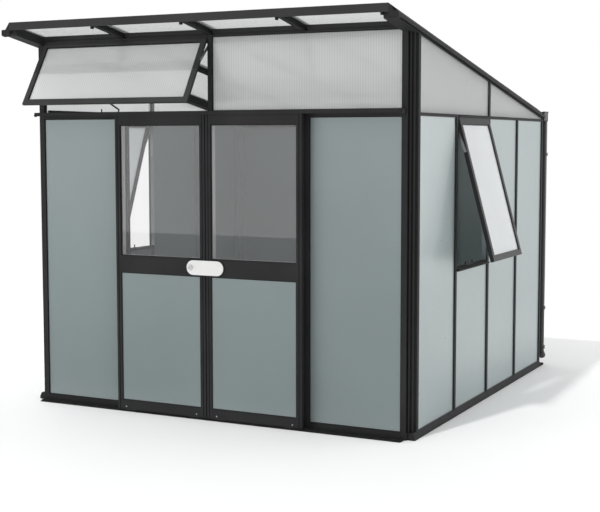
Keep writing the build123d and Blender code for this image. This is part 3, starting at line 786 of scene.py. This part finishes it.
@dataclass
class Structure(Assembly):
    """Base, posts, mullions, rails and beams."""

    nodes: Sequence[str] = (
        "front_base", "rear_base", "side_bases", "door_track", "front_posts", "rear_posts",
        "front_mullions", "rear_mullions", "side_mullions", "head_rail", "door_hood",
        "front_wall_plate", "gable_rails", "eaves_beam", "window_sills",
    )

    rib_levels: tuple[float, float] = (2.303, 2.336)
    rib_size: float = 0.004
    rib_bevel: float = 0.004 / 3
    plug: Head = Head(0.011, 0.009, 0.001)
    plug_inset: float = 0.016

    def build(self) -> None:
        """Dress the profiles and add the fixings."""
        self.shop.dress_nodes(self.nodes, Finish.FRAME)
        self.hood_plugs()
        self.plate_ribs()

    def hood_plugs(self) -> None:
        """Rounded plug in each end of the rail over the doors."""
        low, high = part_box("door_hood")
        for name, side, end in (("left", -1, low.x), ("right", 1, high.x)):
            foot = (end, low.y + self.plug_inset, high.z - self.plug_inset)
            plug = self.bench.disc(f"hood_plug_{name}", foot, (side, 0, 0), self.plug)
            self.shop.fit(Finish.FRAME, plug)

    def plate_ribs(self) -> None:
        """Two rounded ribs along the face of the wall plate."""
        low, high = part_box("front_wall_plate")
        first = self.bench.block(
            "plate_rib", (low.x, low.y - self.rib_size, self.rib_levels[0]),
            (high.x, low.y, self.rib_levels[0] + self.rib_size), self.rib_bevel,
        )
        rise = self.rib_levels[1] - self.rib_levels[0]
        self.shop.fit(Finish.SASH, *self.bench.copies(first, [(0, 0, rise)]))


@dataclass
class Roof(Assembly):
    """Rafters, verges, fascia and translucent panels."""

    profiles: Sequence[str] = ("rafters", "verge_rafters", "verge_caps", "verge_end_caps", "glazing_bars")
    bar_places: Sequence[float] = (-0.622, 0.0, 0.622)
    screw: Head = Head(0.006, 0.003, 0.0012)
    screw_count: int = 6
    screw_margin: float = 0.04
    bar_height: float = 0.012
    rafter_half: float = 0.024
    verge_half: float = 0.036
    stop_size: Point = (0.014, 0.022, 0.03)
    stop_drop: float = 0.014
    stop_setback: float = 0.006
    stop_bevel: float = 0.003

    def build(self) -> None:
        """Dress the roof and add its clips and screws."""
        self.shop.dress_nodes(self.profiles, Finish.FRAME)
        self.shop.dress_nodes(("fascia",), Finish.SASH)
        self.shop.dress_nodes(("roof_panels",), Finish.ROOF_SHEET)
        self.panel_stops()
        self.bar_screws()

    def panel_stops(self) -> None:
        """Hooked clip that hangs beside the front end of each rafter, below the fascia."""
        low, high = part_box("fascia")
        width, depth, height = self.stop_size
        right = self.bar_places[0] - self.rafter_half
        front, foot = low.y + self.stop_setback, low.z - self.stop_drop
        clip = self.bench.block(
            "panel_stop", (right - width, front, foot), (right, front + depth, foot + height), self.stop_bevel
        )
        offsets = [(place - self.bar_places[0], 0, 0) for place in self.bar_places[1:]]
        offsets.append((high.x - self.verge_half - right, 0, 0))
        self.shop.fit(Finish.BLACK, *self.bench.copies(clip, offsets))

    def bar_screws(self) -> None:
        """Capped screws down the middle of each glazing bar."""
        low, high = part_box("glazing_bars")
        run, fall = high.y - low.y, high.z - low.z - self.bar_height
        foot = (self.bar_places[0], low.y + run * self.screw_margin, high.z - fall * self.screw_margin)
        first = self.bench.disc("bar_screw", foot, (0, fall, run), self.screw)
        step = (1 - 2 * self.screw_margin) / (self.screw_count - 1)
        offsets = [
            (place - self.bar_places[0], run * step * i, -fall * step * i)
            for place in self.bar_places for i in range(self.screw_count)
            if place != self.bar_places[0] or i
        ]
        self.shop.fit(Finish.STEEL, *self.bench.copies(first, offsets))


@dataclass
class Walls(Assembly):
    """Opaque wall panels and the translucent sheets above them."""

    opaque: Sequence[str] = ("front_panels", "rear_panels", "left_wall_panels", "right_wall_panels")

    bead: float = 0.005
    proud: float = 0.003
    grid: Sequence[float] = (-0.5302, 0.0918, 0.7138)
    bar_half: float = 0.0155
    jamb_edge: float = 0.6595
    post_edge: float = 1.232
    side_limits: tuple[float, float] = (-1.1422, 1.3258)
    window_bay: int = 2
    foot: float = 0.042

    def build(self) -> None:
        """Dress the panels and press a rubber gasket round each."""
        self.shop.dress_nodes(self.opaque, Finish.SHEET)
        self.shop.dress_nodes(("clerestory_panel",), Finish.FRONT_GLAZING)
        self.shop.dress_nodes(("gable_glazing",), Finish.GABLE_GLAZING)
        self.inner_faces()
        self.front_gaskets()
        self.side_gaskets()
        self.rear_gaskets()

    def inner_faces(self) -> None:
        """Panels' colour on mullions and rear posts indoors, where the photograph shows no dark bars."""
        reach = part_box("right_wall_panels")[0].x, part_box("rear_panels")[0].y
        for name in ("rear_mullions", "side_mullions", "rear_posts"):
            self.shop.dress_faces(
                name, Finish.SHEET, lambda middle: abs(middle.x) < reach[0] and middle.y < reach[1]
            )

    def front_gaskets(self) -> None:
        """Gaskets round the fixed front panels and the clerestory sheet."""
        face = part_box("front_panels")[0].y
        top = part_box("front_panels")[1].z
        first = self.bench.ring(
            "front_gasket", (-self.post_edge, face - self.proud, self.foot), (-self.jamb_edge, face, top),
            Axis.Y, self.bead,
        )
        self.shop.fit(Finish.BLACK, *self.bench.copies(first, [(self.post_edge + self.jamb_edge, 0, 0)]))
        low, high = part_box("clerestory_panel")
        upper = self.bench.ring(
            "clerestory_gasket", (self.bar_half, low.y - self.proud, low.z),
            (self.post_edge, low.y, high.z), Axis.Y, self.bead,
        )
        self.shop.fit(Finish.BLACK, upper)

    def bays(self) -> list[tuple[float, float]]:
        """Measure the clear width of each bay of a side wall.

        Returns:
            Where each bay starts and ends, from the front.
        """
        starts = [self.side_limits[0]] + [line + self.bar_half for line in self.grid]
        ends = [line - self.bar_half for line in self.grid] + [self.side_limits[1]]
        return list(zip(starts, ends))

    def side_gaskets(self) -> None:
        """Gaskets round the panels of both side walls, the short one below the window included."""
        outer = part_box("right_wall_panels")[1].x
        inner = -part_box("left_wall_panels")[0].x
        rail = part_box("right_wall_panels")[1].z
        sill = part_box("window_sills")[0].z
        for number, (start, end) in enumerate(self.bays(), start=1):
            top = sill if number == self.window_bay else rail
            right = self.bench.ring(
                f"right_gasket_{number}", (outer, start, self.foot), (outer + self.proud, end, top),
                Axis.X, self.bead,
            )
            self.shop.fit(Finish.BLACK, right, self.bench.twin(right, -outer - inner - self.proud))

    def rear_gaskets(self) -> None:
        """Gaskets round the four panels of the rear wall."""
        face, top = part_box("rear_panels")[1].yz
        module = self.grid[1] - self.grid[0]
        outer, inner = (
            self.bench.ring(
                name, (start, face, self.foot), (end, face + self.proud, top),
                Axis.Y, self.bead,
            )
            for name, start, end in (
                ("rear_gasket", -self.post_edge, -module - self.bar_half),
                ("rear_inner_gasket", self.bar_half - module, -self.bar_half),
            )
        )
        made = self.bench.copies(outer, [(self.post_edge + module + self.bar_half, 0, 0)])
        made += self.bench.copies(inner, [(module, 0, 0)])
        self.shop.fit(Finish.BLACK, *made)


@dataclass
class RainGoods(Assembly):
    """Gutter and downpipe."""

    clip_levels: tuple[float, float] = (0.431, 1.584)
    clip_depth: float = 0.036
    screw: Head = Head(0.005, 0.0025, 0.001)
    screw_sink: float = 0.0005
    cap_reach: float = 0.003
    cap_inset: float = 0.008
    cap_foot: float = 0.006
    rim_reach: float = 0.006
    rim_inset: float = 0.002
    cap_bevel: float = 0.0012
    rim_bevel: float = 0.0025

    def build(self) -> None:
        """Dress the gutter and the pipe and add their fixings."""
        self.shop.dress_nodes(("gutter",), Finish.FRAME)
        self.shop.dress_nodes(("downpipe",), Finish.BLACK)
        self.end_caps()
        self.clip_screws()

    def end_caps(self) -> None:
        """Moulded cap with a rolled rim on each end of the gutter."""
        low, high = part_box("gutter")
        lip = high.z - self.cap_inset
        cap = self.bench.block(
            "gutter_cap_right", (high.x, low.y + self.cap_inset, low.z + self.cap_foot),
            (high.x + self.cap_reach, high.y - self.cap_inset, lip), self.cap_bevel,
        )
        rim = self.bench.block(
            "gutter_rim_right", (high.x, low.y + self.rim_inset, lip),
            (high.x + self.rim_reach, high.y - self.rim_inset, high.z), self.rim_bevel,
        )
        for piece, reach in ((cap, self.cap_reach), (rim, self.rim_reach)):
            self.shop.fit(Finish.BLACK, piece, self.bench.twin(piece, low.x - high.x - reach))

    def clip_screws(self) -> None:
        """Screw in the face of each pipe clip."""
        low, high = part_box("downpipe")
        foot = (high.x - self.screw_sink, low.y + self.clip_depth, self.clip_levels[0])
        screw = self.bench.disc("clip_screw", foot, (1, 0, 0), self.screw)
        rise = self.clip_levels[1] - self.clip_levels[0]
        self.shop.fit(Finish.STEEL, *self.bench.copies(screw, [(0, 0, rise)]))


@dataclass
class Openings(Assembly):
    """Front vent and side windows with their stays."""

    bead: float = 0.006
    proud: float = 0.003
    hinge_x: float = 1.309
    window_length: float = 0.898
    window_tilt: float = 15.0
    window_bars: tuple[float, float] = (0.033, 0.042)
    vent_hinge: tuple[float, float] = (-1.2267, 2.3017)
    vent_tilt: float = 31.0
    vent_length: float = 0.4546
    pane_setback: float = 0.008
    peg: Head = Head(0.0045, 0.02, 0.001)
    peg_half: float = 0.064
    plate_size: tuple[float, float, float] = (0.018, 0.17, 0.003)
    plate_bevel: float = 0.001
    plate_inset: float = 0.05
    strip_size: tuple[float, float] = (0.007, 0.01)
    strip_gap: float = 0.001
    strip_bevel: float = 0.003
    black_span: tuple[float, float] = (-0.9, -0.5)

    def build(self) -> None:
        """Dress the sashes, panes and stays and add gaskets, hinges and pegs."""
        self.shop.dress_nodes(("vent_sash", "right_window_sash", "left_window_sash"), Finish.SASH)
        self.shop.dress_nodes(("vent_pane",), Finish.FRONT_GLAZING)
        self.shop.dress_nodes(("window_panes",), Finish.WINDOW)
        self.shop.dress_nodes(("vent_stays", "window_stays"), Finish.STEEL)
        self.blacken_pegs()
        self.window_gaskets()
        self.vent_gasket()
        self.hinge_strips()
        self.sill_pegs()

    def blacken_pegs(self) -> None:
        """Give the vent's pegs and foot bar the black finish; its end arms stay bright."""
        start, end = self.black_span
        self.shop.dress_faces("vent_stays", Finish.BLACK, lambda middle: start < middle.x < end)

    def window_gaskets(self) -> None:
        """Gasket round each side window's pane, laid flat against the closed wall and swung open with it."""
        low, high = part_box("right_window_sash")
        wall = self.hinge_x
        side_bar, top_bar = self.window_bars
        foot = high.z - self.window_length + side_bar
        gasket = self.bench.ring(
            "right_window_gasket", (wall - self.pane_setback, low.y + side_bar, foot),
            (wall - self.pane_setback + self.proud, high.y - side_bar, high.z - top_bar),
            Axis.X, self.bead,
        )
        twin = self.bench.twin(gasket, -2 * wall + 2 * self.pane_setback - self.proud)
        for side, piece in ((1, gasket), (-1, twin)):
            self.bench.swing(piece, Axis.Y, side * -self.window_tilt, (side * wall, 0, high.z))
            self.shop.fit(Finish.BLACK, piece)

    def vent_gasket(self) -> None:
        """Gasket round the vent's pane, modelled upright and swung open."""
        low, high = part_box("vent_sash")
        bar = self.window_bars[0]
        hinge = (0.0, self.vent_hinge[0], self.vent_hinge[1])
        face = hinge[1] + self.pane_setback
        gasket = self.bench.ring(
            "vent_gasket", (low.x + bar, face - self.proud, hinge[2] - self.vent_length + bar),
            (high.x - bar, face, hinge[2] - bar), Axis.Y, self.bead,
        )
        self.bench.swing(gasket, Axis.X, -self.vent_tilt, hinge)
        self.shop.fit(Finish.BLACK, gasket)

    def hinge_strips(self) -> None:
        """Rounded hinge strip over the top edge of each opening sash."""
        low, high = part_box("right_window_sash")
        reach, height = self.strip_size
        foot = high.z + self.strip_gap
        strip = self.bench.block(
            "right_hinge_strip", (self.hinge_x, low.y, foot),
            (self.hinge_x + reach, high.y, foot + height), self.strip_bevel,
        )
        self.shop.fit(Finish.FRAME, strip, self.bench.twin(strip, -2 * self.hinge_x - reach))

    def sill_pegs(self) -> None:
        """Base plate with two pegs on the inner edge of each window sill."""
        low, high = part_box("window_sills")
        width, length, height = self.plate_size
        middle, inner, top = (low.y + high.y) / 2, high.x - self.plate_inset, high.z + height
        plate = self.bench.block(
            "right_peg_plate", (inner, middle - length / 2, high.z),
            (inner + width, middle + length / 2, top), self.plate_bevel,
        )
        foot = (inner + width / 2, middle - self.peg_half, top)
        peg = self.bench.disc("right_peg", foot, (0, 0, 1), self.peg)
        pegs = self.bench.copies(peg, [(0, 2 * self.peg_half, 0)])
        for piece in (plate, *pegs):
            self.shop.fit(Finish.BLACK, piece, self.bench.twin(piece, -2 * inner - width))


@dataclass
class Doors(Assembly):
    """The two sliding leaves and their catch."""

    bead: float = 0.005
    proud: float = 0.003
    screw: Head = Head(0.005, 0.002, 0.001)
    screw_places: tuple[float, float] = (0.0705, 0.5815)
    screw_height: float = 0.0325
    liner: tuple[float, float, float] = (0.0015, 0.002, 0.034)
    liner_bevel: float = 0.0005
    knob_ring: Head = Head(0.0105, 0.0015, 0.0015)
    knob_dot: Head = Head(0.0035, 0.0015, 0.000375)
    dot_sink: float = 0.001
    shade_rim_reach: float = 0.003
    shade_rim_height: float = 0.0015
    shade_rim_dish: float = 0.000375
    jamb_edge: float = 0.6065
    seal_reach: float = 0.018
    seal_depth: float = 0.006
    seal_foot: float = 0.042
    seal_bevel: float = 0.002

    def build(self) -> None:
        """Dress both leaves and the catch and add gaskets, beads, screws and seals."""
        for side in ("left", "right"):
            self.shop.dress_nodes((f"{side}_door_frame",), Finish.FRAME)
            self.shop.dress_nodes((f"{side}_door_panel",), Finish.SHEET)
            self.shop.dress_nodes((f"{side}_door_glass",), Finish.DOOR_GLASS)
            self.shop.dress_nodes((f"{side}_door_glides",), Finish.BLACK)
        self.shop.dress_nodes(("catch_plate", "catch_knob"), Finish.WHITE)
        self.leaf_fittings()
        self.knob_face()
        self.jamb_seals()

    def leaf_fittings(self) -> None:
        """Gaskets, glass bead and bottom rail screws of both leaves, made on the left one and copied."""
        glass_low, glass_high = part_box("left_door_glass")
        panel_low, panel_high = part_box("left_door_panel")
        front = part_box("left_door_frame")[0].y
        glass_gasket, panel_gasket = (
            self.bench.ring(
                name, (low.x, low.y - self.proud, low.z), (high.x, low.y, high.z),
                Axis.Y, self.bead,
            )
            for name, low, high in (
                ("left_glass_gasket", glass_low, glass_high), ("left_panel_gasket", panel_low, panel_high)
            )
        )
        gap, wall, depth = self.liner
        bead = self.bench.ring(
            "left_glass_bead", (glass_low.x + gap, glass_high.y + gap, glass_low.z + gap),
            (glass_high.x - gap, glass_high.y + gap + depth, glass_high.z - gap),
            Axis.Y, wall, self.liner_bevel,
        )
        foot = (-self.screw_places[0], front, self.screw_height)
        screw = self.bench.disc("left_leaf_screw", foot, (0, -1, 0), self.screw)
        screws = self.bench.copies(screw, [(self.screw_places[0] - self.screw_places[1], 0, 0)])
        pane_span = glass_high.x - glass_low.x + 2 * abs(glass_high.x)
        spans = [(piece, pane_span) for piece in (glass_gasket, panel_gasket, bead)]
        spans += [(piece, self.screw_places[0] + self.screw_places[1]) for piece in screws]
        finishes = (Finish.BLACK, Finish.BLACK, Finish.BEAD, Finish.STEEL, Finish.STEEL)
        for (piece, span), finish in zip(spans, finishes):
            twin = self.bench.twin(piece, span)
            self.shop.fit(finish, piece, body="left_door")
            self.shop.fit(finish, twin, body="right_door")

    def knob_face(self) -> None:
        """Grey disc at the foot of the knob, a little wider than it, as painted shade round the knob, and a
        raised ring round a small centre on its face.
        """
        low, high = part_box("catch_knob")
        across, level = (low.x + high.x) / 2, (low.z + high.z) / 2
        # The grey disc behind the knob is painted shade: it stands in for the shadow round the knob's foot.
        shade_rim = Head((high.x - low.x) / 2 + self.shade_rim_reach, self.shade_rim_height, self.shade_rim_dish)
        for name, front, head, finish in (
            ("knob_collar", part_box("catch_plate")[0].y, shade_rim, Finish.BEAD),
            ("knob_ring", low.y, self.knob_ring, Finish.WHITE),
            ("knob_centre", low.y + self.dot_sink, self.knob_dot, Finish.BEAD),
        ):
            piece = self.bench.disc(name, (across, front, level), (0, -1, 0), head)
            self.shop.fit(finish, piece, body="left_door")

    def jamb_seals(self) -> None:
        """Rubber strip on the opening side of each door jamb."""
        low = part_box("head_rail")[0]
        front = low.y + self.seal_depth
        seal = self.bench.block(
            "left_jamb_seal", (-self.jamb_edge, front, self.seal_foot),
            (-self.jamb_edge + self.seal_reach, front + self.seal_depth, low.z), self.seal_bevel,
        )
        self.shop.fit(Finish.BLACK, seal, self.bench.twin(seal, 2 * self.jamb_edge - self.seal_reach))


def hang(kind: str, name: str, place: Point, travel: Sequence[float], level: float) -> Piece:
    """Hang a light.

    Args:
        kind: Blender's name for the sort of light.
        name: Name of the light.
        place: Where it hangs.
        travel: Direction that it shines in.
        level: Its power, or its strength if it is a sun.

    Returns:
        The light.
    """
    bpy.ops.object.light_add(type=kind, location=place)
    light = bpy.context.object
    light.name = name
    light.data.energy = level
    light.rotation_euler = Vector(travel).to_track_quat("-Z", "Y").to_euler()
    log.info("light %s: %.2f", name, level)
    return light


@dataclass(frozen=True)
class Lamp:
    """A broad soft lamp that looks at the middle of the shed."""

    name: str
    place: Point
    size: tuple[float, float]
    power: float
    mirrored: bool
    aim: Point = (0.0, 0.0, 1.2)

    def build(self) -> None:
        """Hang the lamp."""
        lamp = hang("AREA", self.name, self.place, Vector(self.aim) - Vector(self.place), self.power)
        lamp.data.shape = "RECTANGLE"
        lamp.data.size, lamp.data.size_y = self.size
        lamp.visible_glossy = self.mirrored


@dataclass(frozen=True)
class Sun:
    """Distant light for chosen pieces alone: a small spread draws a shadow, a wide one softens it."""

    name: str
    level: float
    spread: float
    travel: Point
    place: Point = (-2.0, -6.0, 8.0)

    def build(self, lit: bpy.types.Collection) -> None:
        """Hang the light.

        Args:
            lit: The collection that it shines on.
        """
        sun = hang("SUN", self.name, self.place, self.travel, self.level)
        sun.data.angle = math.radians(self.spread)
        sun.light_linking.receiver_collection = lit


@dataclass
class Studio:
    """Floor, light and camera."""

    camera_place: Point = (3.8016, -7.595, 1.6878)
    camera_pitch: float = 4.846
    camera_turn: float = 26.061
    lens: float = 73.95
    shift: tuple[float, float] = (-0.0227, -0.0186)
    sunlit: Sequence[Piece] = ()
    clip_end: float = 200.0
    floor_half: float = 40.0
    floor_level: float = -0.001
    floor_colour: Colour = srgb(252, 252, 252)
    floor_gloss: tuple[float, float] = (0.6, 1.2)
    dull_colour: Colour = srgb(40, 40, 40)
    floor_fade: tuple[float, float] = (2.2, 6.5)
    dark_floor: tuple[float, float] = (-13.9, -1.6)
    world_levels: tuple[float, float] = (0.42, 0.62)
    side_lamp: Lamp = Lamp("side_lamp", (8.0, 5.0, 1.6), (7.0, 3.0), 360.0, True)
    far_lamp: Lamp = Lamp("far_lamp", (-8.0, 3.0, 1.6), (7.0, 3.0), 300.0, False)
    front_lamp: Lamp = Lamp("front_lamp", (-16.0, -18.0, 1.0), (14.0, 4.0), 2400.0, False)
    sun: Sun = Sun("soft_sun", 1.15, 2.5, (0.172, 0.66, -1.0))
    sky: Sun = Sun("floor_sky", 0.55, 150.0, (0.0, 0.0, -1.0))

    def build(self) -> None:
        """Make the whole stage."""
        self.floor()
        self.world()
        self.lamps()
        self.camera()

    def floor(self) -> None:
        """White floor that keeps the shadow, fades into the background and mirrors dull in one band."""
        bpy.ops.mesh.primitive_plane_add(size=2 * self.floor_half, location=(0, 0, self.floor_level))
        floor = bpy.context.object
        floor.name = "stage_floor"
        graph = Graph(bpy.data.materials.new("stage_floor"))
        roughness, index = self.floor_gloss
        near = graph.shader("BsdfPrincipled", {
            "Base Color": (*self.floor_colour, 1), "Roughness": roughness, "IOR": index
        })
        start, end = self.floor_fade
        distance = graph.node("ShaderNodeVectorMath", {0: graph.place}, operation="LENGTH").outputs["Value"]
        fade = graph.node(
            "ShaderNodeMapRange", {"From Min": start, "From Max": end, "Value": distance},
            interpolation_type="SMOOTHSTEP",
        ).outputs["Result"]
        seen = graph.mixed(fade, near, graph.shader("Emission", {}))
        across = graph.node("ShaderNodeSeparateXYZ", {"Vector": graph.place}).outputs["Y"]
        mirrored = graph.node("ShaderNodeLightPath").outputs["Is Glossy Ray"]
        for limit, side in zip(self.dark_floor, ("GREATER_THAN", "LESS_THAN")):
            mirrored = graph.maths("MULTIPLY", mirrored, graph.maths(side, across, limit))
        dull = graph.shader("BsdfDiffuse", {"Color": (*self.dull_colour, 1)})
        floor.data.materials.append(graph.finished(graph.mixed(mirrored, seen, dull)))

    def world(self) -> None:
        """Even light all round, and a white background to the eye, in gloss and through glass."""
        graph = Graph(bpy.data.worlds.new("studio"), "ShaderNodeOutputWorld")
        towards = graph.coordinates["Generated"]
        height = graph.node("ShaderNodeSeparateXYZ", {"Vector": towards}).outputs["Z"]
        light, seen = (
            graph.shader("Background", {"Color": (1, 1, 1, 1), "Strength": strength})
            for strength in (graph.between(height, *self.world_levels), 1.0)
        )
        path = graph.node("ShaderNodeLightPath").outputs
        shown = path["Is Camera Ray"]
        for kind in ("Is Glossy Ray", "Is Transmission Ray"):
            shown = graph.maths("MAXIMUM", shown, path[kind])
        bpy.context.scene.world = graph.finished(graph.mixed(shown, light, seen))

    def lamps(self) -> None:
        """Three broad lamps for the walls, and the light that draws the shadow on the floor."""
        for lamp in (self.side_lamp, self.front_lamp, self.far_lamp):
            lamp.build()
        floor = bpy.data.objects["stage_floor"]
        lit = bpy.data.collections.new("lit_floor")
        sunlit = bpy.data.collections.new("sunlit")
        for piece in (floor, *self.sunlit):
            sunlit.objects.link(piece)
        lit.objects.link(floor)
        self.sun.build(sunlit)
        self.sky.build(lit)

    def camera(self) -> None:
        """Camera at the photograph's viewpoint."""
        turn = (math.radians(90 - self.camera_pitch), 0, math.radians(self.camera_turn))
        bpy.ops.object.camera_add(location=self.camera_place, rotation=turn)
        camera = bpy.context.object
        camera.data.lens = self.lens
        camera.data.shift_x, camera.data.shift_y = self.shift
        camera.data.clip_end = self.clip_end
        bpy.context.scene.camera = camera


def main() -> None:
    """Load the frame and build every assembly."""
    logging.basicConfig(level=logging.INFO, format="%(message)s")
    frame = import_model()
    bpy.ops.object.select_all(action="DESELECT")
    scene = bpy.context.scene
    scene.view_settings.view_transform = "Standard"
    shop = Workshop(frame)
    bench = Bench()
    fitted = [kind(shop, bench) for kind in (Structure, Roof, Walls, RainGoods, Openings, Doors)]
    sunlit = [frame["nodes"][name] for name in ("clerestory_panel", "vent_pane", "vent_sash", "fascia")]
    for assembly in (*fitted, Studio(sunlit=sunlit)):
        assembly.build()
        log.info("built %s", type(assembly).__name__)


if __name__ == "__main__":
    main()
